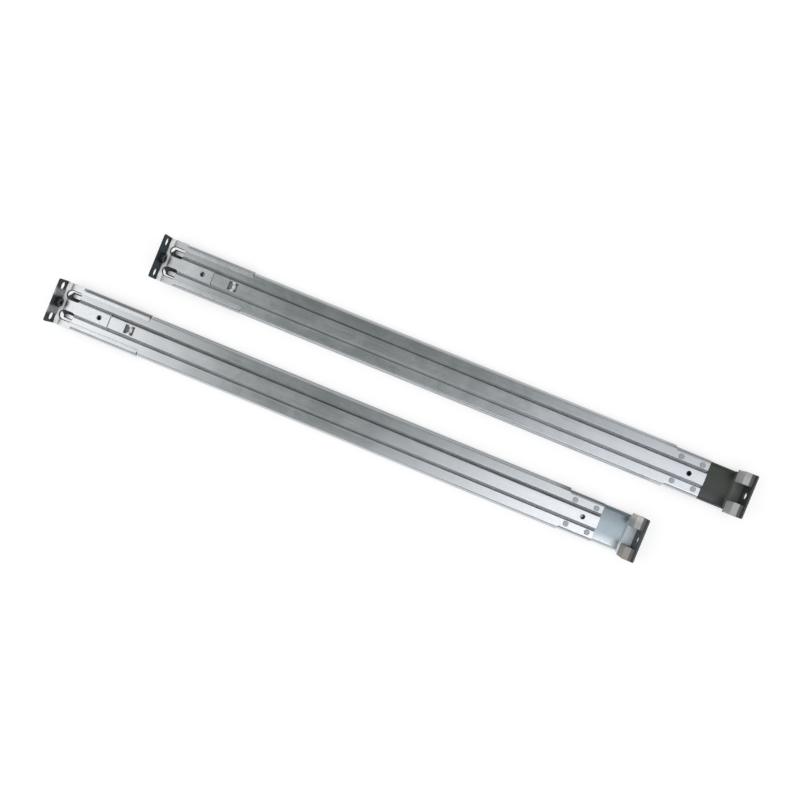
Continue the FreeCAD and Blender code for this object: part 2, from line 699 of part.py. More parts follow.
def guide_rivets():
    """Square-necked headed rivets that the rear bracket's slots run on."""
    foot_top = REAR_TOP - REAR_T - GAP
    rivets = []
    for x, y in guide_places():
        head = prism_z(x, y, (WEB_TOP, WEB_TOP + GUIDE_HEAD_T), GUIDE_HEAD_R, GUIDE_HEAD_SIDES)
        neck = square_z(x, y, (foot_top, WEB_TOP), GUIDE_NECK_HALF)
        foot = square_z(x, y, (foot_top - GUIDE_FOOT_T, foot_top), GUIDE_FOOT_HALF)
        rivets.append(joined([neck, head, foot]))
    return Part.makeCompound(rivets)


def peg_housings():
    """The two blocks on the rear flange that the pegs slide in."""
    cavity_half = PEG_COLLAR_HALF + GAP
    block = box((HOUSING_X, REAR_FACE), HOUSING_Y, (SET_TOP, HOUSING_TOP))
    front = [edge for edge in upright_edges(block) if edge.CenterOfMass.x < HOUSING_X + SAME]
    block = block.makeChamfer(HOUSING_EDGE, front)
    corner = [
        edge
        for edge in block.Edges
        if abs(edge.CenterOfMass.x - REAR_FACE) < SAME and abs(edge.CenterOfMass.z - SET_TOP) < SAME
    ]
    block = block.makeChamfer(REAR_BEND_R, corner)
    cavity = box(
        (HOUSING_X + HOUSING_WALL, REAR_FACE),
        (RACK_HOLE_PITCH - cavity_half, RACK_HOLE_PITCH + cavity_half),
        (RACK_HOLE_Z - cavity_half, RACK_HOLE_Z + cavity_half),
    )
    return Part.makeCompound(both_sides(block.cut(cavity)))


def square_bar(x_span, half):
    """Square bar along X on the upper rack hole's axis."""
    return box(
        x_span,
        (RACK_HOLE_PITCH - half, RACK_HOLE_PITCH + half),
        (RACK_HOLE_Z - half, RACK_HOLE_Z + half),
    )


def peg_back():
    """X of the back of a peg's collar."""
    return REAR_FACE - GAP - PEG_COLLAR_T


def upper_peg():
    """Square spring peg with a collar behind the flange and a chamfered nose."""
    tip = RAIL_LENGTH + PEG_REACH
    bar = square_bar((peg_back(), tip), PEG_HALF)
    nose_edges = [edge for edge in bar.Edges if abs(edge.BoundBox.XMin - tip) < SAME]
    bar = bar.makeChamfer(PEG_CHAMFER, nose_edges)
    return joined([bar, square_bar((peg_back(), peg_back() + PEG_COLLAR_T), PEG_COLLAR_HALF)])


def lower_peg():
    """The peg in the lower rack hole."""
    return mirrored(upper_peg())


def upper_peg_spring():
    """Folded flat spring between the housing's back wall and the peg."""
    back = HOUSING_X + HOUSING_WALL
    room = peg_back() - back
    corners = []
    for i in range(SPRING_LEGS + 1):
        side = 1 if i % 2 else -1
        x = back + SPRING_T + (room - 2 * SPRING_T) * i / SPRING_LEGS
        corners.append((x, RACK_HOLE_PITCH + side * SPRING_HALF, 0))
    face = strip_face(bent_path(corners), SPRING_T, flat)
    placed = face.translated(Vector(0, 0, RACK_HOLE_Z - SPRING_HALF))
    return placed.extrude(Vector(0, 0, 2 * SPRING_HALF))


def lower_peg_spring():
    """The spring behind the lower peg."""
    return mirrored(upper_peg_spring())


def lever_z():
    """Underside and top of the release lever."""
    low = INNER_FLOOR + LEVER_LIFT
    return (low, low + LEVER_T)


def release_lever():
    """Flat lever with a finger pad at the front and a hook that meets the intermediate member's lug."""
    z_span = lever_z()
    depth = (0, INNER_TOP)
    hook_front = LUG_X[1] + INNER_TRAVEL + GAP
    hook_x = (hook_front, hook_front + HOOK_LENGTH)
    bar = slot_z((LEVER_FRONT_X + LEVER_HALF, hook_front), 0, z_span, LEVER_HALF)
    arm = box(hook_x, (0, LUG_Y[1]), z_span)
    tooth = box(hook_x, LUG_Y, (z_span[0], HOOK_TOP))
    body = joined([bar, arm, tooth])
    return body.cut(rod_z(LEVER_PIVOT_X, 0, depth, PIVOT_R + RIVET_GAP))


def lever_pivot():
    """Rivet that the release lever turns on."""
    head_foot = lever_z()[1] + LEVER_LIFT
    head = rod_z(LEVER_PIVOT_X, 0, (head_foot, head_foot + PIVOT_HEAD_T), PIVOT_HEAD_R)
    shank = rod_z(LEVER_PIVOT_X, 0, (INNER_FOOT, head_foot), PIVOT_R)
    return head.fuse(shank).removeSplitter()


def lever_spring():
    """Leaf spring from the inner member's wall to the side of the lever."""
    z_span = lever_z()
    wall_y = INNER_INSIDE - LEAF_T / 2
    tip = (LEVER_FRONT_X + LEVER_HALF, LEVER_HALF + LEAF_T)
    path = bent_path(
        [
            (LEAF_ANCHOR_X[0], wall_y, 0),
            (LEAF_ANCHOR_X[1], wall_y, LEVER_HALF),
            (tip[0], tip[1], 0),
        ]
    )
    face = strip_face(path, LEAF_T, flat)
    return face.translated(Vector(0, 0, z_span[0])).extrude(Vector(0, 0, LEVER_T))


def rear_bumper():
    """Rubber block under the middle band that the intermediate member closes against."""
    x_span = (INTER_X[1] + GAP, INTER_X[1] + GAP + BUMPER_LENGTH)
    z_span = (INTER_TOP - INTER_T, WEB_TOP + BAND_RISE - OUTER_T)
    block = box(x_span, (-BUMPER_HALF, BUMPER_HALF), z_span)
    return block.makeChamfer(BUMPER_EDGE, upright_edges(block))


PIECES = {
    "outer_member": outer_member,
    "intermediate_member": intermediate_member,
    "inner_member": inner_member,
    "outer_cage": outer_cage,
    "outer_balls": outer_balls,
    "inner_cage": inner_cage,
    "inner_balls": inner_balls,
    "front_bracket": front_bracket,
    "guide_rivets": guide_rivets,
    "front_nut": front_nut,
    "rear_bracket": rear_bracket,
    "peg_housings": peg_housings,
    "upper_peg": upper_peg,
    "lower_peg": lower_peg,
    "upper_peg_spring": upper_peg_spring,
    "lower_peg_spring": lower_peg_spring,
    "release_lever": release_lever,
    "lever_pivot": lever_pivot,
    "lever_spring": lever_spring,
    "rear_bumper": rear_bumper,
}


def place(shape, side):
    """Moves a piece of the rail to its rail of the pair; the left rail is the mirror image."""
    if side == "left":
        shape = mirrored(shape)
    direction = -1 if side == "left" else 1
    middle = (RAIL_LENGTH + PEG_REACH) / 2
    return shape.translated(Vector(direction * RAIL_STAGGER / 2 - middle, direction * RAIL_PITCH / 2, 0))


os.makedirs("parts", exist_ok=True)
for name, make in PIECES.items():
    piece = make()
    for rail in ("left", "right"):
        place(piece, rail).exportStep(f"parts/{rail}_{name}.step")
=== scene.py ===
import math

import bmesh
import bpy
from mathutils import Matrix, Vector


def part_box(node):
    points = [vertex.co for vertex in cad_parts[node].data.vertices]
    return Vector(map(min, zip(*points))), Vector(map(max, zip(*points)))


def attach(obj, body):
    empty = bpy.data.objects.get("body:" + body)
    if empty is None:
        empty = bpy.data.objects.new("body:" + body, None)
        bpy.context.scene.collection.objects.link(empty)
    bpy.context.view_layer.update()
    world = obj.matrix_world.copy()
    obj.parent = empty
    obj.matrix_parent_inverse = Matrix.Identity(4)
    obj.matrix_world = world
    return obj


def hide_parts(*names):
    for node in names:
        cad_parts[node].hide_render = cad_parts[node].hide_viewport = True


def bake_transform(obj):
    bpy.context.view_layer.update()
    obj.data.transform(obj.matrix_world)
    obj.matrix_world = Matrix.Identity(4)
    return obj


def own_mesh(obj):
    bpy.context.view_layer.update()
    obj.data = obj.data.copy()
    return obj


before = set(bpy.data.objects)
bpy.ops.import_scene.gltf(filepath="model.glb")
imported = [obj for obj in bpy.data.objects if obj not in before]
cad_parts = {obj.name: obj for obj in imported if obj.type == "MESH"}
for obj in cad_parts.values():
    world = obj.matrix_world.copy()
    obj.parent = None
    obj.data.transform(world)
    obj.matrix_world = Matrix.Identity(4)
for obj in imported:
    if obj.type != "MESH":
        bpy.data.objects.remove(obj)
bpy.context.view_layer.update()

# Looks of the sliding server rail pair: plated steel, cast housings, balls, soft studio light.
# Metres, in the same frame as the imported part: X along the rails, Z up from the floor.

SIDES = ("left", "right")
MM = 0.001

# Camera above the pair, turned so that the rails run down to the right
CAMERA_PLACE = (0.01635, 0.00463, 0.7264)
CAMERA_TURN = (-0.012, 1.253, 22.307)
CAMERA_LENS = 33.08
CAMERA_NEAR = 0.01

# Each rail's front face, rear face and middle line
FRONT_X = {side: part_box(f"{side}_front_bracket")[0][0] for side in SIDES}
REAR_X = {side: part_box(f"{side}_rear_bracket")[1][0] for side in SIDES}
MIDDLE_Y = {side: sum(corner[1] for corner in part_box(f"{side}_front_bracket")) / 2 for side in SIDES}

# Places on a rail: back from its front face, or off its middle line. A pair is where a tone
# starts to show and where it shows in full, or the two limits of a band.
GROOVE_OFF = 7.9 * MM
GROOVE_SHADE = (1.9 * MM, 0.9 * MM)
GROOVE_SIDES = (-2.0 * MM, 2.0 * MM)
DARKER_PLUS_Y_SIDE = (1.0 * MM, 13.0 * MM)
CHANNEL_FOLD = (17.4 * MM, 18.2 * MM)
CHANNEL_FOLD_BACK = (515.0 * MM, 535.0 * MM)
STOP_STRIP = (73.8 * MM, 77.0 * MM)
STOP_STRIP_HALF = (4.6 * MM, 4.3 * MM)
STOP_STRIP_SOFT = 0.05 * MM
UNDER_STOP = (66.0 * MM, 82.0 * MM)
UNDER_STOP_HALF = (8.5 * MM, 4.5 * MM)
UNDER_STOP_SOFT = 2.5 * MM
TONGUE_OFF = 10.45 * MM
TONGUE_HALF = 2.6 * MM
TONGUE_TIP = 7.8 * MM
TONGUE_EDGE = (TONGUE_HALF - 0.9 * MM, TONGUE_HALF - 0.6 * MM)
TONGUE_ROOT = (19.0 * MM, 18.0 * MM)
NOSE_ROOT = (24.0 * MM, 22.0 * MM)
BRACKET_FOOT = (2.8 * MM, 7.0 * MM)
BRACKET_FOOT_SOFT = 0.6 * MM
ARM_FOLD = (18.3 * MM, 19.3 * MM)
ARM_FOLD_BACK = (18.0 * MM, 24.0 * MM)
SLOT_HALF = 4.45 * MM
SLOT_TIP = 5.6 * MM
SLOT_RIM = (SLOT_HALF - 0.4 * MM, SLOT_HALF + 0.7 * MM)
SLOT_RIM_SOFT = 0.1 * MM
SLOT_END = (18.5 * MM, 17.5 * MM)
FRONT_DIP_AND_SHADE = (2.7 * MM, 2.2 * MM)
BETWEEN_HOLES = 9.0 * MM
LIT_BETWEEN_HOLES_HALF = (5.5 * MM, 1.5 * MM)
SHADED_SIDE = (-4.0 * MM, 19.0 * MM)
PAINTED_LIGHT_SIDE = (-6.0 * MM, -17.0 * MM)
HOUSING_OFF = 9.5 * MM
WELL_SOFT = 1.0 * MM
HOUSING_INNER_PART = (19.0 * MM, 15.0 * MM)
HOUSING_SIDES = (1.0 * MM, -1.0 * MM)

# Places ahead of a rail's rear face
REAR_DIP_AND_SHADE = (2.7 * MM, 2.1 * MM)
HOUSING_DIP_AND_SHADE = (6.0 * MM, 5.4 * MM)

# Balls in a row and their radius
OUTER_BALLS = (5, 1.5 * MM)
INNER_BALLS = (6, 1.25 * MM)

# Springs
LEAF_CUTS = 2
SEAM = 0.001 * MM

# Shares of a second tone
GROOVE_SHADE_LEAST = 0.05
GROOVE_SHADE_CLOUDS = 0.12
LOWER_GROOVE_SHADE = 0.3
DARKER_SIDE_SHARE = 0.55
FOLD_SHADE = {"left": 0.72, "right": 0.35}
LIT_BETWEEN_HOLES_LEAST = 0.55
LIT_BETWEEN_HOLES_CLOUDS = 0.45
SHADED_SHARE = 0.75
PAINTED_LIGHT_SHARE = 0.8

# Second tones. The groove, fold and slot rim tones are painted shade; the stop strip, under stop, tongue and
# bracket foot tones are painted light; the blackening is the nut's own oxide and painted shade on tongue
# edges and noses
GROOVE_SHADE_TONE = (0.10, 0.105, 0.11, 1)
DARKER_SIDE_TONE = (0.42, 0.44, 0.45, 1)
FOLD_SHADE_TONE = (0.12, 0.125, 0.13, 1)
STOP_STRIP_PAINTED_LIGHT = (0.8, 0.8, 0.8, 1)
UNDER_STOP_PAINTED_LIGHT = (0.5, 0.5, 0.51, 1)
TONGUE_PAINTED_LIGHT = (0.72, 0.73, 0.74, 1)
DARK_OXIDE_AND_PAINTED_SHADE = (0.05, 0.055, 0.06, 1)
SLOT_RIM_SHADOW = (0.06, 0.065, 0.07, 1)
BRACKET_FOOT_PAINTED_LIGHT = (0.95, 0.95, 0.95, 1)

# Roughness and metalness of a coat that lies over a finish
STOP_STRIP_COAT = (0.45, 0.15)
UNDER_STOP_COAT = (0.6, 0.2)
NOSE_COAT = (0.5, 0.2)
BRACKET_FOOT_COAT = (0.5, 0.2)
SLOT_RIM_COAT = (0.5, 0.3)
FRONT_DIP_COAT = (0.5, 0.0)
REAR_DIP_COAT = (0.45, 0.2)
WELL_COAT = (0.55, 0.15)

# A plated metal's own tone, the tones of its clouds and rubbed edges, and its roughness
CHANNEL = ((0.62, 0.64, 0.66, 1), (0.57, 0.59, 0.61, 1), (0.80, 0.81, 0.83, 1), 0.22)
INTERMEDIATE = ((0.40, 0.41, 0.42, 1), (0.34, 0.35, 0.36, 1), (0.6, 0.6, 0.61, 1), 0.28)
INNER = ((0.50, 0.51, 0.52, 1), (0.43, 0.44, 0.45, 1), (0.72, 0.72, 0.73, 1), 0.27)
BRACKET = ((0.66, 0.68, 0.70, 1), (0.58, 0.60, 0.62, 1), (0.84, 0.85, 0.87, 1), 0.26)
FASTENER = ((0.66, 0.68, 0.70, 1), (0.56, 0.58, 0.6, 1), (0.85, 0.85, 0.87, 1), 0.3)
RIVET = ((0.38, 0.39, 0.40, 1), (0.3, 0.31, 0.32, 1), (0.6, 0.6, 0.62, 1), 0.35)
NUT = ((0.07, 0.075, 0.08, 1), DARK_OXIDE_AND_PAINTED_SHADE, (0.2, 0.2, 0.2, 1), 0.4)
BRASS = ((0.72, 0.57, 0.30, 1), (0.62, 0.47, 0.24, 1), (0.86, 0.74, 0.48, 1), 0.3)
BALL = ((0.78, 0.79, 0.80, 1), (0.7, 0.71, 0.73, 1), (0.9, 0.9, 0.9, 1), 0.1)
PEG = ((0.5, 0.51, 0.52, 1), (0.42, 0.43, 0.44, 1), (0.75, 0.75, 0.76, 1), 0.32)
SPRING = ((0.45, 0.44, 0.42, 1), (0.36, 0.35, 0.34, 1), (0.7, 0.68, 0.65, 1), 0.3)
BLUE_ZINC = ((0.36, 0.43, 0.46, 1), (0.30, 0.36, 0.39, 1), (0.62, 0.68, 0.72, 1), 0.32)
# Dark olive plating for the right rear bracket: the bracket's zinc darkened as painted shade
OLIVE_SHADED_ZINC = ((0.072, 0.078, 0.07, 1), (0.058, 0.063, 0.056, 1), (0.2, 0.2, 0.19, 1), 0.4)

# A cast or moulded surface's own tone, the tone of its clouds, and its roughness
LEVER = ((0.06, 0.16, 0.34, 1), (0.05, 0.13, 0.29, 1), 0.42)
RUBBER = ((0.035, 0.036, 0.038, 1), (0.025, 0.026, 0.028, 1), 0.7)
RUBBER_BUMP = 0.2

# Each rail's front flange: its dark tone, a dark coat with painted shade, and its tone between the holes,
# painted light, much paler on the left rail
FLANGE_TONES = {
    "left": ((0.035, 0.045, 0.05, 1), (0.36, 0.37, 0.375, 1)),
    "right": ((0.022, 0.034, 0.042, 1), (0.035, 0.048, 0.055, 1)),
}

# Each rear bracket: its plating, and the tones of its +Y side, -Y side, flange and well. The +Y side is
# painted shade, the -Y side painted light, the flange a dark coat with painted shade, the well painted light
# on the left and painted shade on the right; the right bracket's olive plating and tones are darker copies
# of the left's, painted shade
REAR_BRACKETS = {
    "left": (
        BLUE_ZINC,
        (0.17, 0.20, 0.215, 1),
        (0.8, 0.83, 0.86, 1),
        (0.07, 0.075, 0.075, 1),
        (0.66, 0.74, 0.79, 1),
    ),
    "right": (
        OLIVE_SHADED_ZINC,
        (0.065, 0.072, 0.06, 1),
        (0.095, 0.097, 0.105, 1),
        (0.05, 0.055, 0.055, 1),
        (0.125, 0.14, 0.125, 1),
    ),
}

# Each rail's peg housings: the +Y block's outer and inner parts, the -Y block, their dipped ends. The parts
# differ as painted light and shade on one zinc, and the ends are a dark coat with painted shade
HOUSING_TONES = {
    "left": (
        (0.6, 0.58, 0.52, 1),
        (0.36, 0.38, 0.375, 1),
        (0.31, 0.295, 0.27, 1),
        (0.12, 0.12, 0.12, 1),
    ),
    "right": (
        (0.42, 0.42, 0.41, 1),
        (0.42, 0.43, 0.42, 1),
        (0.40, 0.40, 0.39, 1),
        (0.09, 0.09, 0.09, 1),
    ),
}
HOUSING_CLOUDS = 0.85
HOUSING_ROUGH = 0.5

# Plated and cast surfaces
SHEET_SOFT_EDGE = 0.5 * MM
CAST_SOFT_EDGE = 0.6 * MM
BEVEL_SAMPLES = 6
RELIEF = 0.2 * MM
SHEET_GRAIN = 0.5
BALL_GRAIN = 0.15
GRAIN_TONE = 0.22
SHEET_RUB = 0.7
SMOOTHEST = 0.05  # plated steel's smoothest spots lie this far under its roughness
CLOUD_ROUGH = 0.035
LINE_ROUGH = 0.08
CRYSTAL_ROUGH = 0.03
SCRATCH_DEPTH = 0.3
SHEET_BUMP = 0.04
CAST_RUB = 0.6
CORNER_GAIN = 1.35
CORNER_LIFT = 0.03
SPECK_ROUGH = 0.12
CAST_CLOUD = 70.0
CAST_SPECK = 900.0
CAST_BUMP = 0.12
PATCH_CLOUD = 160.0
FLANGE_CLOUD = 300.0
FLANGE_SHINE = 0.2
FINE_GRAIN = 0.6  # share of the fine lines in the rolled grain; the rest is broad
SCRATCH_RUNS = ((0.12, 3.0), (-0.35, 11.0))  # turn and place of each run of scratches
SCRATCH_SCALE = (30.0, 1500.0, 300.0)

# Where each effect starts to show in its noise, and where it is full
GRAIN_SHOWS = (0.3, 0.7)
CLOUDS_SHOW = (0.32, 0.68)
CRYSTALS_SHOW = (0.1, 0.7)
SCRATCHES_SHOW = (0.69, 0.74)
EDGES_SHOW = (0.985, 0.86)
EDGES_BREAK = (0.35, 0.6)

# Studio surroundings, by heading: where each part starts and where it is full
WINDOW_SLANT = 0.4
LEFT_WINDOW = (-0.245, -0.47)
RIGHT_WINDOW = (0.02, 0.34)
RIGHT_GLOW = (0.09, -0.09)
DIM_CEILING = (-0.2, -0.42)
PALE_CEILING = (0.22, 0.5)
WALL_SIDES = (-0.1, 0.35)
WALL_TOP = (0.8, 0.55)
HORIZON = (0.14, 0.05)
WHITE = (1, 1, 1, 1)
CEILING_TONE = (0.23, 0.25, 0.235, 1)
DIM_CEILING_TONE = (0.12, 0.12, 0.13, 1)
PALE_CEILING_TONE = (0.8, 0.8, 0.8, 1)
LEFT_WINDOW_TONE = (1.75, 1.75, 1.75, 1)
RIGHT_WINDOW_TONES = ((1.05, 1.06, 1.14, 1), (1.95, 1.96, 2.02, 1))
WALL_TONES = ((0.75, 0.75, 0.76, 1), (0.5, 0.5, 0.51, 1))
SKY_LIGHT = (0.8, 0.8, 0.81, 1)
FLOOR_TONE = (0.52, 0.52, 0.52, 1)
FLOOR_GLOW = 0.55
FLOOR_ROUGH = 0.9
FLOOR_HALF = 12.0
SOFTBOX_SIZE = (0.9, 1.2)

scene = bpy.context.scene
scene.view_settings.view_transform = "Standard"


def add_node(tree, kind, inputs=None, **settings):
    """Adds a node, sets its options, and links or sets each of its named inputs."""
    made = tree.nodes.new(kind)
    for name, value in settings.items():
        setattr(made, name, value)
    for name, source in (inputs or {}).items():
        if isinstance(source, bpy.types.NodeSocket):
            tree.links.new(source, made.inputs[name])
        else:
            made.inputs[name].default_value = source
    return made


def maths(tree, operation, a, b=0.0, clamp=False):
    """A Math node's result."""
    made = add_node(tree, "ShaderNodeMath", {0: a, 1: b}, operation=operation, use_clamp=clamp)
    return made.outputs[0]


def spread(tree, value, low, high, to_low=0.0, to_high=1.0):
    """A value eased from one range to another."""
    inputs = {"Value": value, "From Min": low, "From Max": high, "To Min": to_low, "To Max": to_high}
    return add_node(tree, "ShaderNodeMapRange", inputs, interpolation_type="SMOOTHSTEP").outputs["Result"]


def both(tree, first, second):
    """Mask that is 1 where two masks are."""
    return maths(tree, "MULTIPLY", first, second)


def blend(tree, share, a, b):
    """Mix of two colours."""
    made = add_node(tree, "ShaderNodeMix", {0: share, 6: a, 7: b}, data_type="RGBA")
    return made.outputs[2]


def band(tree, value, limits, soft):
    """Mask that is 1 between two limits, with soft ends."""
    low, high = limits
    rising = spread(tree, value, low - soft, low + soft)
    falling = spread(tree, value, high + soft, high - soft)
    return both(tree, rising, falling)


def object_place(tree):
    """A point's place in the part's frame."""
    return add_node(tree, "ShaderNodeTexCoord").outputs["Object"]


def rail_place(tree, side):
    """How far a point is back from a rail's front face, and off its middle line."""
    parts = add_node(tree, "ShaderNodeSeparateXYZ", {0: object_place(tree)})
    back = maths(tree, "SUBTRACT", parts.outputs["X"], FRONT_X[side])
    off = maths(tree, "SUBTRACT", parts.outputs["Y"], MIDDLE_Y[side])
    return back, off


def size_of(tree, value):
    """A value without its sign."""
    return maths(tree, "ABSOLUTE", value)


def from_tip(tree, back, off, tip, half):
    """Distance from the middle of a round-ended slot or tongue that starts at a tip."""
    ahead = maths(tree, "MAXIMUM", maths(tree, "SUBTRACT", tip + half, back), 0.0)
    beside = maths(tree, "SUBTRACT", size_of(tree, off), TONGUE_OFF)
    spot = add_node(tree, "ShaderNodeCombineXYZ", {0: ahead, 1: beside})
    return add_node(tree, "ShaderNodeVectorMath", {0: spot.outputs[0]}, operation="LENGTH").outputs["Value"]


def tint_where(finish, mask, tone):
    """Lays a second tone over a finish where a mask is 1."""
    tree = finish.node_tree
    colour = tree.nodes["Principled BSDF"].inputs["Base Color"]
    tree.links.new(blend(tree, mask, colour.links[0].from_socket, tone), colour)


def coat_where(finish, mask, rough, metal):
    """Changes a finish to a duller coat where a mask is 1."""
    tree = finish.node_tree
    shader = tree.nodes["Principled BSDF"]
    under = shader.inputs["Roughness"].links[0].from_socket
    duller = add_node(tree, "ShaderNodeMix", {0: mask, 2: under, 3: rough}, data_type="FLOAT")
    tree.links.new(duller.outputs[0], shader.inputs["Roughness"])
    linked = shader.inputs["Metallic"].links
    start = linked[0].from_socket if linked else shader.inputs["Metallic"].default_value
    coated = add_node(tree, "ShaderNodeMix", {0: mask, 2: start, 3: metal}, data_type="FLOAT")
    tree.links.new(coated.outputs[0], shader.inputs["Metallic"])


def new_effect(name, inputs, outputs):
    """Empty shader node group with named number inputs and outputs."""
    group = bpy.data.node_groups.new(name, "ShaderNodeTree")
    for label, value in inputs.items():
        socket = group.interface.new_socket(label, in_out="INPUT", socket_type="NodeSocketFloat")
        socket.default_value = value
    for label in outputs:
        group.interface.new_socket(label, in_out="OUTPUT", socket_type="NodeSocketFloat")
    return group, add_node(group, "NodeGroupInput"), add_node(group, "NodeGroupOutput")


def place_effect(tree, group, **values):
    """Places an effect group in a material with its own values."""
    made = tree.nodes.new("ShaderNodeGroup")
    made.node_tree = group
    for name, value in values.items():
        made.inputs[name].default_value = value
    return made


def noise(tree, place, scale, detail, roughness=0.5):
    """Cloudy noise at a place."""
    inputs = {"Vector": place, "Scale": scale, "Detail": detail, "Roughness": roughness}
    return add_node(tree, "ShaderNodeTexNoise", inputs).outputs[0]


def rolled_grain():
    """Fine lines that the rolling mill leaves along a strip."""
    group, given, out = new_effect("rolled_grain", {"Along": 14.0, "Across": 2200.0}, ["Lines"])
    along, across = given.outputs["Along"], given.outputs["Across"]
    size = add_node(group, "ShaderNodeCombineXYZ", {0: along, 1: across, 2: across})
    factors = {0: object_place(group), 1: size.outputs[0]}
    scaled = add_node(group, "ShaderNodeVectorMath", factors, operation="MULTIPLY").outputs[0]
    fine = noise(group, scaled, scale=1.0, detail=4.0, roughness=0.65)
    broad = noise(group, scaled, scale=0.16, detail=2.0)
    fine = maths(group, "MULTIPLY", fine, FINE_GRAIN)
    broad = maths(group, "MULTIPLY", broad, 1 - FINE_GRAIN)
    mixed = maths(group, "ADD", fine, broad)
    group.links.new(spread(group, mixed, *GRAIN_SHOWS), out.inputs["Lines"])
    return group


def zinc_clouds():
    """Soft mottling of a plated sheet, with the faint edges of its crystals."""
    sizes = {"Cloud": 45.0, "Crystal": 420.0}
    group, given, out = new_effect("zinc_clouds", sizes, ["Clouds", "Crystals"])
    place = object_place(group)
    cloud = noise(group, place, given.outputs["Cloud"], detail=5.0, roughness=0.6)
    grid = {"Vector": place, "Scale": given.outputs["Crystal"]}
    crystal = add_node(group, "ShaderNodeTexVoronoi", grid, feature="SMOOTH_F1")
    group.links.new(spread(group, cloud, *CLOUDS_SHOW), out.inputs["Clouds"])
    group.links.new(spread(group, crystal.outputs["Distance"], *CRYSTALS_SHOW), out.inputs["Crystals"])
    return group


def fine_scratches():
    """Sparse hairline scratches from handling, in two directions."""
    group, given, out = new_effect("fine_scratches", {"Amount": 0.5}, ["Scratches"])
    place = object_place(group)
    hits = []
    for turn, seed in SCRATCH_RUNS:
        run = {
            "Vector": place,
            "Rotation": (0.0, 0.0, turn),
            "Location": (seed, seed, 0.0),
            "Scale": SCRATCH_SCALE,
        }
        turned = add_node(group, "ShaderNodeMapping", run).outputs[0]
        hits.append(spread(group, noise(group, turned, scale=1.0, detail=1.0), *SCRATCHES_SHOW))
    either = maths(group, "MAXIMUM", *hits)
    group.links.new(maths(group, "MULTIPLY", either, given.outputs["Amount"]), out.inputs["Scratches"])
    return group


def rounded_normal(tree, radius):
    """Surface normal with its edges rounded."""
    return add_node(tree, "ShaderNodeBevel", {"Radius": radius}, samples=BEVEL_SAMPLES).outputs[0]


def worn_edges():
    """Mask of the edges where the plating is rubbed bright."""
    group, given, out = new_effect("worn_edges", {"Radius": CAST_SOFT_EDGE}, ["Edges"])
    flat = add_node(group, "ShaderNodeNewGeometry").outputs["Normal"]
    pair = {0: rounded_normal(group, given.outputs["Radius"]), 1: flat}
    same = add_node(group, "ShaderNodeVectorMath", pair, operation="DOT_PRODUCT")
    edge = spread(group, same.outputs["Value"], *EDGES_SHOW)
    patches = noise(group, object_place(group), scale=260.0, detail=3.0)
    broken = spread(group, patches, *EDGES_BREAK)
    group.links.new(both(group, edge, broken), out.inputs["Edges"])
    return group


GRAIN = rolled_grain()
CLOUDS = zinc_clouds()
SCRATCHES = fine_scratches()
EDGES = worn_edges()


def new_finish(name, metal):
    """Empty material: itself, its node tree and its shader."""
    finish = bpy.data.materials.new(name)
    finish.use_nodes = True
    shader = finish.node_tree.nodes["Principled BSDF"]
    shader.inputs["Metallic"].default_value = metal
    return finish, finish.node_tree, shader


def relief(tree, shader, height, soft_edge, strength):
    """Rounds a finish's edges and gives its surface a fine relief."""
    bump = {
        "Height": height,
        "Normal": rounded_normal(tree, soft_edge),
        "Strength": strength,
        "Distance": RELIEF,
    }
    tree.links.new(add_node(tree, "ShaderNodeBump", bump).outputs[0], shader.inputs["Normal"])


def plated_steel(name, metal, grain=SHEET_GRAIN):
    """Plated sheet steel: rolled lines, mottled plating, rubbed edges and hairline scratches."""
    tone, cloud_tone, edge_tone, rough = metal
    finish, tree, shader = new_finish(name, 1.0)
    lines = place_effect(tree, GRAIN).outputs["Lines"]
    clouds = place_effect(tree, CLOUDS)
    scratches = place_effect(tree, SCRATCHES, Amount=grain)
    edges = place_effect(tree, EDGES, Radius=SHEET_SOFT_EDGE)
    colour = blend(tree, clouds.outputs["Clouds"], cloud_tone, tone)
    colour = blend(tree, maths(tree, "MULTIPLY", lines, GRAIN_TONE * grain), colour, edge_tone)
    colour = blend(tree, maths(tree, "MULTIPLY", edges.outputs["Edges"], SHEET_RUB), colour, edge_tone)
    tree.links.new(colour, shader.inputs["Base Color"])
    rougher = (
        (clouds.outputs["Clouds"], CLOUD_ROUGH),
        (lines, LINE_ROUGH * grain),
        (clouds.outputs["Crystals"], CRYSTAL_ROUGH),
    )
    roughness = rough - SMOOTHEST
    for source, share in rougher:
        roughness = maths(tree, "ADD", roughness, maths(tree, "MULTIPLY", source, share))
    tree.links.new(roughness, shader.inputs["Roughness"])
    scratched = maths(tree, "MULTIPLY", scratches.outputs["Scratches"], SCRATCH_DEPTH)
    relief(tree, shader, maths(tree, "SUBTRACT", lines, scratched), SHEET_SOFT_EDGE, SHEET_BUMP)
    return finish


def cast_finish(name, surface, bump=CAST_BUMP):
    """Matt cast, moulded or painted surface with a fine pebbled skin and rubbed corners."""
    tone, cloud_tone, rough = surface
    finish, tree, shader = new_finish(name, 0.0)
    clouds = place_effect(tree, CLOUDS, Cloud=CAST_CLOUD, Crystal=CAST_SPECK)
    edges = place_effect(tree, EDGES, Radius=CAST_SOFT_EDGE)
    colour = blend(tree, clouds.outputs["Clouds"], cloud_tone, tone)
    paler = tuple(min(1.0, c * CORNER_GAIN + CORNER_LIFT) for c in tone[:3]) + (1.0,)
    colour = blend(tree, maths(tree, "MULTIPLY", edges.outputs["Edges"], CAST_RUB), colour, paler)
    tree.links.new(colour, shader.inputs["Base Color"])
    speckled = maths(tree, "MULTIPLY", clouds.outputs["Crystals"], SPECK_ROUGH)
    tree.links.new(maths(tree, "ADD", rough, speckled), shader.inputs["Roughness"])
    relief(tree, shader, clouds.outputs["Crystals"], CAST_SOFT_EDGE, bump)
    return finish


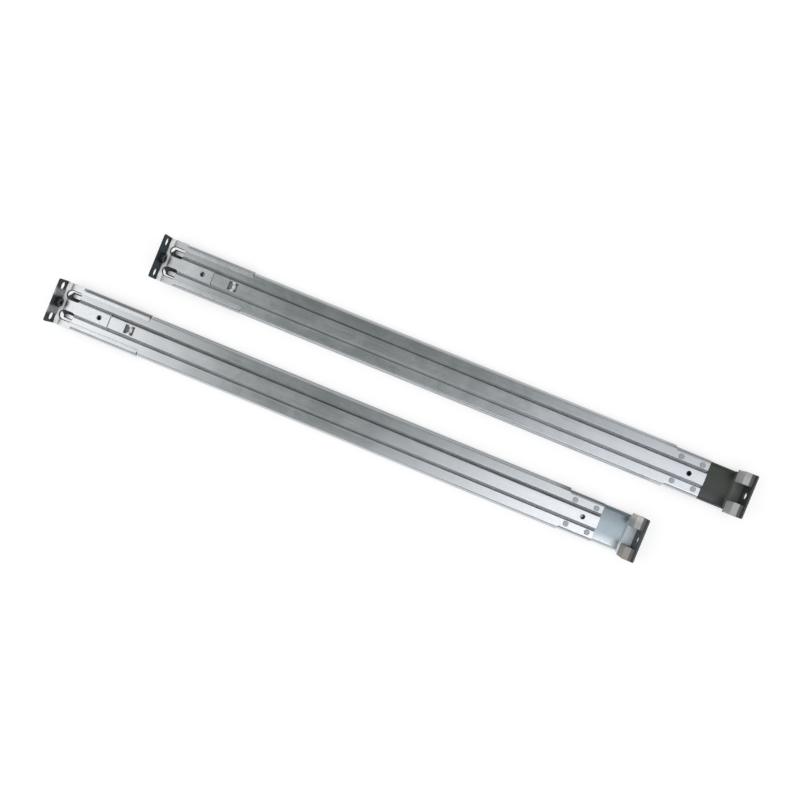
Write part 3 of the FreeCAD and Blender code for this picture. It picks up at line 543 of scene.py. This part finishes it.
def outer_member_finish(side):
    """Galvanised channel with painted shade in its two pressed grooves, patchy and lighter in the -Y groove,
    darker towards its +Y side, with painted shade along its +Y fold and painted light on its stop strip.
    """
    finish = plated_steel(f"{side}_outer_member_zinc", CHANNEL)
    tree = finish.node_tree
    back, off = rail_place(tree, side)
    beside = size_of(tree, off)
    # Painted shade in the two grooves: patchy, full in the +Y groove and lighter in the -Y one
    groove = size_of(tree, maths(tree, "SUBTRACT", beside, GROOVE_OFF))
    clouds = place_effect(tree, CLOUDS, Cloud=PATCH_CLOUD)
    patchy = maths(tree, "ADD", GROOVE_SHADE_LEAST, maths(tree, "MULTIPLY", clouds.outputs["Clouds"], GROOVE_SHADE_CLOUDS))
    groove_shade = both(tree, spread(tree, groove, *GROOVE_SHADE), patchy)
    groove_shade = both(tree, groove_shade, spread(tree, off, *GROOVE_SIDES, LOWER_GROOVE_SHADE, 1.0))
    tint_where(finish, groove_shade, GROOVE_SHADE_TONE)
    # Darker towards the +Y side
    tint_where(finish, spread(tree, off, *DARKER_PLUS_Y_SIDE, 0.0, DARKER_SIDE_SHARE), DARKER_SIDE_TONE)
    # Painted shade along the +Y fold, stronger on the left rail
    fold_shade = spread(tree, off, *CHANNEL_FOLD, 0.0, FOLD_SHADE[side])
    tint_where(finish, both(tree, fold_shade, spread(tree, back, *CHANNEL_FOLD_BACK)), FOLD_SHADE_TONE)
    # Painted light: the stop strip toned pale to lift its shade
    lit_strip = both(tree, band(tree, back, STOP_STRIP, STOP_STRIP_SOFT), spread(tree, beside, *STOP_STRIP_HALF))
    tint_where(finish, lit_strip, STOP_STRIP_PAINTED_LIGHT)
    coat_where(finish, lit_strip, *STOP_STRIP_COAT)
    return finish


def intermediate_member_finish(side):
    """Oiled steel with painted light under the stop and on each tongue's tip, and painted shadow along each
    tongue's edge.
    """
    finish = plated_steel(f"{side}_intermediate_member_steel", INTERMEDIATE)
    tree = finish.node_tree
    back, off = rail_place(tree, side)
    # Painted light on each tongue's tip
    tongue = spread(tree, back, *TONGUE_ROOT)
    tint_where(finish, tongue, TONGUE_PAINTED_LIGHT)
    # Painted shadow along each tongue's edge, where the gap is shaded
    from_middle = from_tip(tree, back, off, TONGUE_TIP, TONGUE_HALF)
    tint_where(finish, both(tree, spread(tree, from_middle, *TONGUE_EDGE), tongue), DARK_OXIDE_AND_PAINTED_SHADE)
    # Painted light on the web under the stop's slots, lifting its shade
    along = band(tree, back, UNDER_STOP, UNDER_STOP_SOFT)
    lit_under_stop = both(tree, along, spread(tree, size_of(tree, off), *UNDER_STOP_HALF))
    tint_where(finish, lit_under_stop, UNDER_STOP_PAINTED_LIGHT)
    coat_where(finish, lit_under_stop, *UNDER_STOP_COAT)
    return finish


def inner_member_finish(side):
    """Oiled steel with painted shade on its nose."""
    finish = plated_steel(f"{side}_inner_member_steel", INNER)
    back = rail_place(finish.node_tree, side)[0]
    # Painted shade on the nose, under the tongue gaps
    shaded_nose = spread(finish.node_tree, back, *NOSE_ROOT)
    tint_where(finish, shaded_nose, DARK_OXIDE_AND_PAINTED_SHADE)
    coat_where(finish, shaded_nose, *NOSE_COAT)
    return finish


def front_bracket_finish(side):
    """Zinc bracket whose upright flange is dark, a dark coat with painted shade, with painted light between
    its holes; painted light on its foot and painted shade along its +Y fold and round its slots.
    """
    dark_tone, lit_tone = FLANGE_TONES[side]
    finish = plated_steel(f"{side}_front_bracket_steel", BRACKET)
    tree = finish.node_tree
    back, off = rail_place(tree, side)
    # Painted light on the bracket's foot
    lit_foot = band(tree, back, BRACKET_FOOT, BRACKET_FOOT_SOFT)
    tint_where(finish, lit_foot, BRACKET_FOOT_PAINTED_LIGHT)
    coat_where(finish, lit_foot, *BRACKET_FOOT_COAT)
    # Painted shade along the arms' +Y fold, stronger on the left rail
    fold_shade = spread(tree, off, *ARM_FOLD, 0.0, FOLD_SHADE[side])
    tint_where(finish, both(tree, fold_shade, spread(tree, back, *ARM_FOLD_BACK)), FOLD_SHADE_TONE)
    # Painted shadow round the slots' edges
    slot = from_tip(tree, back, off, SLOT_TIP, SLOT_HALF)
    rim_shadow = both(tree, band(tree, slot, SLOT_RIM, SLOT_RIM_SOFT), spread(tree, back, *SLOT_END))
    tint_where(finish, rim_shadow, SLOT_RIM_SHADOW)
    coat_where(finish, rim_shadow, *SLOT_RIM_COAT)
    # Painted light between the flange's holes, patchy
    between = size_of(tree, maths(tree, "SUBTRACT", size_of(tree, off), BETWEEN_HOLES))
    clouds = place_effect(tree, CLOUDS, Cloud=FLANGE_CLOUD)
    patchy = maths(tree, "ADD", LIT_BETWEEN_HOLES_LEAST, maths(tree, "MULTIPLY", clouds.outputs["Clouds"], LIT_BETWEEN_HOLES_CLOUDS))
    lit_between_holes = both(tree, spread(tree, between, *LIT_BETWEEN_HOLES_HALF), patchy)
    # Dark flange: a dark coat with painted shade
    dipped_and_shaded = spread(tree, back, *FRONT_DIP_AND_SHADE)
    tint_where(finish, dipped_and_shaded, blend(tree, lit_between_holes, dark_tone, lit_tone))
    coat_where(finish, dipped_and_shaded, *FRONT_DIP_COAT)
    tree.nodes["Principled BSDF"].inputs["Specular IOR Level"].default_value = FLANGE_SHINE
    return finish


def rear_bracket_finish(side):
    """Plated bracket with painted shade towards its +Y side and painted light towards its -Y side, a dark
    flange that is a dark coat with painted shade, and a well toned as painted light on the left rail and
    painted shade on the right.
    """
    plating, shaded_tone, painted_light_tone, flange_dip_and_shade, well_light_and_shade = REAR_BRACKETS[side]
    finish = plated_steel(f"{side}_rear_bracket_plating", plating)
    tree = finish.node_tree
    back, off = rail_place(tree, side)
    # Painted shade towards the +Y side, painted light towards the -Y side
    tint_where(finish, spread(tree, off, *SHADED_SIDE, 0.0, SHADED_SHARE), shaded_tone)
    tint_where(finish, spread(tree, off, *PAINTED_LIGHT_SIDE, 0.0, PAINTED_LIGHT_SHARE), painted_light_tone)
    well_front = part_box(f"{side}_peg_housings")[0][0] - FRONT_X[side]
    well = both(
        tree,
        spread(tree, back, well_front, well_front + WELL_SOFT),
        spread(tree, size_of(tree, off), HOUSING_OFF, HOUSING_OFF - WELL_SOFT),
    )
    # Well between the housings: painted light on the left rail, painted shade on the right
    tint_where(finish, well, well_light_and_shade)
    coat_where(finish, well, *WELL_COAT)
    # Dark flange: a dark coat with painted shade
    dipped_and_shaded = spread(tree, back, *(REAR_X[side] - FRONT_X[side] - ahead for ahead in REAR_DIP_AND_SHADE))
    tint_where(finish, dipped_and_shaded, flange_dip_and_shade)
    coat_where(finish, dipped_and_shaded, *REAR_DIP_COAT)
    return finish


def housing_finish(side):
    """Matt die-cast zinc, its block parts toned lighter and darker as painted light and shade, with the
    flange's dark coat and painted shade run a little way on to the blocks.
    """
    outer_tone, inner_tone, other_tone, dark_tone = HOUSING_TONES[side]
    cloud_tone = tuple(HOUSING_CLOUDS * c for c in outer_tone[:3]) + (1.0,)
    finish = cast_finish(f"{side}_peg_housing_zinc", (outer_tone, cloud_tone, HOUSING_ROUGH))
    tree = finish.node_tree
    back, off = rail_place(tree, side)
    # Painted light and shade on the blocks' parts
    tint_where(finish, spread(tree, off, *HOUSING_INNER_PART), inner_tone)
    tint_where(finish, spread(tree, off, *HOUSING_SIDES), other_tone)
    # Dark ends: the flange's dark coat with painted shade
    dipped_and_shaded = spread(tree, back, *(REAR_X[side] - FRONT_X[side] - ahead for ahead in HOUSING_DIP_AND_SHADE))
    tint_where(finish, dipped_and_shaded, dark_tone)
    return finish


# Finishes by material slot, and by node where a piece has its own
FINISHES = {
    "cage_brass": plated_steel("cage_brass", BRASS),
    "ball_steel": plated_steel("ball_steel", BALL, BALL_GRAIN),
    "zinc_fastener": plated_steel("zinc_fastener", FASTENER),
    "peg_steel": plated_steel("peg_steel", PEG),
    "spring_steel": plated_steel("spring_steel", SPRING),
    "lever_steel": cast_finish("lever_steel", LEVER),
    "bumper_rubber": cast_finish("bumper_rubber", RUBBER, RUBBER_BUMP),
}
DARK_NUT = plated_steel("blackened_nut", NUT)
RIVET_HEAD = plated_steel("guide_rivet_steel", RIVET)
OWN_FINISHES = {}
for side in SIDES:
    OWN_FINISHES[f"{side}_outer_member"] = outer_member_finish(side)
    OWN_FINISHES[f"{side}_intermediate_member"] = intermediate_member_finish(side)
    OWN_FINISHES[f"{side}_inner_member"] = inner_member_finish(side)
    OWN_FINISHES[f"{side}_front_bracket"] = front_bracket_finish(side)
    OWN_FINISHES[f"{side}_rear_bracket"] = rear_bracket_finish(side)
    OWN_FINISHES[f"{side}_peg_housings"] = housing_finish(side)
    OWN_FINISHES[f"{side}_front_nut"] = DARK_NUT
    OWN_FINISHES[f"{side}_guide_rivets"] = RIVET_HEAD

for name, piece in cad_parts.items():
    for slot in piece.material_slots:
        slot.material = OWN_FINISHES.get(name) or FINISHES[slot.material.name.split(".")[0]]


def new_piece(name, mesh, finish):
    """Object made from a finished mesh, with one finish."""
    data = bpy.data.meshes.new(name)
    mesh.to_mesh(data)
    mesh.free()
    data.materials.clear()
    data.materials.append(finish)
    piece = bpy.data.objects.new(name, data)
    scene.collection.objects.link(piece)
    return piece


def ball_rows(side, cage, count, radius):
    """Smooth balls in the two rows of one cage, in place of the flat-sided ones."""
    node = f"{side}_{cage}_balls"
    low, high = (Vector(corner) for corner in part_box(node))
    half = (high.z - low.z) / 2
    mesh = bmesh.new()
    for row_y in (low.y + half, high.y - half):
        for i in range(count):
            x = low.x + half + (high.x - low.x - 2 * half) * i / (count - 1)
            spot = Matrix.Translation((x, row_y, low.z + half))
            bmesh.ops.create_icosphere(mesh, subdivisions=3, radius=radius, matrix=spot)
    for face in mesh.faces:
        face.smooth = True
    balls = new_piece(f"{node}_smooth", mesh, FINISHES["ball_steel"])
    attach(balls, f"{side}_{cage}_ball_cage")
    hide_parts(node)


def flexible_spring(node, cuts):
    """A spring's own shape as one surface, its seams closed and its edges cut when asked, in place of the
    rigid one.
    """
    mesh = bmesh.new()
    mesh.from_mesh(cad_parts[node].data)
    bmesh.ops.remove_doubles(mesh, verts=mesh.verts, dist=SEAM)
    if cuts:
        bmesh.ops.subdivide_edges(mesh, edges=mesh.edges, cuts=cuts, use_grid_fill=True)
    spring = new_piece(f"{node}_flexible", mesh, FINISHES["spring_steel"])
    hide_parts(node)
    return spring


def peg_spring(side, peg):
    """Folded spring as one surface, carried with the rear slide."""
    node = f"{side}_{peg}_peg_spring"
    spring = flexible_spring(node, 0)
    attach(spring, f"{side}_rear_slide")
    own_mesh(spring)


def lever_spring(side):
    """Leaf spring that stays fixed in place, its faces cut smaller."""
    node = f"{side}_lever_spring"
    spring = flexible_spring(node, LEAF_CUTS)
    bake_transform(spring)


for side in SIDES:
    ball_rows(side, "outer", *OUTER_BALLS)
    ball_rows(side, "inner", *INNER_BALLS)
    peg_spring(side, "upper")
    peg_spring(side, "lower")
    lever_spring(side)


def seen_directly(tree, *rays):
    """Mask that is 1 for rays of the given kinds."""
    path = add_node(tree, "ShaderNodeLightPath")
    first, *others = (path.outputs[f"Is {ray} Ray"] for ray in rays)
    for other in others:
        first = maths(tree, "ADD", first, other, clamp=True)
    return first


def studio_floor():
    """Wide white floor that keeps the rails' shadow."""
    mesh = bmesh.new()
    bmesh.ops.create_grid(mesh, x_segments=1, y_segments=1, size=FLOOR_HALF)
    finish, tree, shader = new_finish("floor_white", 0.0)
    shader.inputs["Base Color"].default_value = FLOOR_TONE
    shader.inputs["Roughness"].default_value = FLOOR_ROUGH
    shader.inputs["Specular IOR Level"].default_value = 0.0
    shader.inputs["Emission Color"].default_value = WHITE
    seen = seen_directly(tree, "Camera", "Glossy", "Transmission")
    tree.links.new(maths(tree, "MULTIPLY", seen, FLOOR_GLOW), shader.inputs["Emission Strength"])
    floor = new_piece("floor", mesh, finish)


def studio_world():
    """White surroundings, a bright window at each end of the rails, and a dim ceiling between them."""
    world = bpy.data.worlds.new("studio")
    scene.world = world
    world.use_nodes = True
    tree = world.node_tree
    heading = add_node(tree, "ShaderNodeTexCoord").outputs["Generated"]
    parts = add_node(tree, "ShaderNodeSeparateXYZ", {0: heading})
    x, y, z = parts.outputs
    to_left = maths(tree, "ADD", x, maths(tree, "MULTIPLY", y, WINDOW_SLANT))
    to_right = maths(tree, "SUBTRACT", x, y)
    right_tone = blend(tree, spread(tree, y, *RIGHT_GLOW), *RIGHT_WINDOW_TONES)
    wall_tone = blend(tree, spread(tree, y, *WALL_SIDES), *WALL_TONES)
    layers = (
        (to_left, LEFT_WINDOW, LEFT_WINDOW_TONE),
        (to_right, RIGHT_WINDOW, right_tone),
        (y, DIM_CEILING, DIM_CEILING_TONE),
        (y, PALE_CEILING, PALE_CEILING_TONE),
        (z, WALL_TOP, wall_tone),
        (z, HORIZON, WHITE),
    )
    shown = CEILING_TONE
    for value, limits, tone in layers:
        shown = blend(tree, spread(tree, value, *limits), shown, tone)
    lit = blend(tree, seen_directly(tree, "Glossy"), SKY_LIGHT, shown)
    backdrop = blend(tree, seen_directly(tree, "Camera", "Transmission"), lit, WHITE)
    tree.links.new(backdrop, tree.nodes["Background"].inputs["Color"])


def softbox(name, place, aim, power, tint):
    """Large soft lamp pointed at a spot."""
    data = bpy.data.lights.new(name, "AREA")
    data.shape = "RECTANGLE"
    data.size, data.size_y = SOFTBOX_SIZE
    data.energy = power
    data.color = tint
    lamp = bpy.data.objects.new(name, data)
    scene.collection.objects.link(lamp)
    lamp.location = place
    lamp.rotation_euler = (Vector(aim) - Vector(place)).to_track_quat("-Z", "Y").to_euler()
    lamp.visible_camera = False
    lamp.visible_glossy = False


studio_floor()
studio_world()
softbox("left_softbox", (-1.05, -0.35, 1.55), (-0.1, 0, 0), 4.5, (1, 1, 1))
softbox("right_softbox", (1.05, -0.3, 1.7), (0.1, 0, 0), 3.0, (0.97, 0.97, 1.0))

camera_data = bpy.data.cameras.new("camera")
camera_data.lens = CAMERA_LENS
camera_data.clip_start = CAMERA_NEAR
camera = bpy.data.objects.new("camera", camera_data)
scene.collection.objects.link(camera)
camera.location = CAMERA_PLACE
camera.rotation_euler = [math.radians(turn) for turn in CAMERA_TURN]
scene.camera = camera
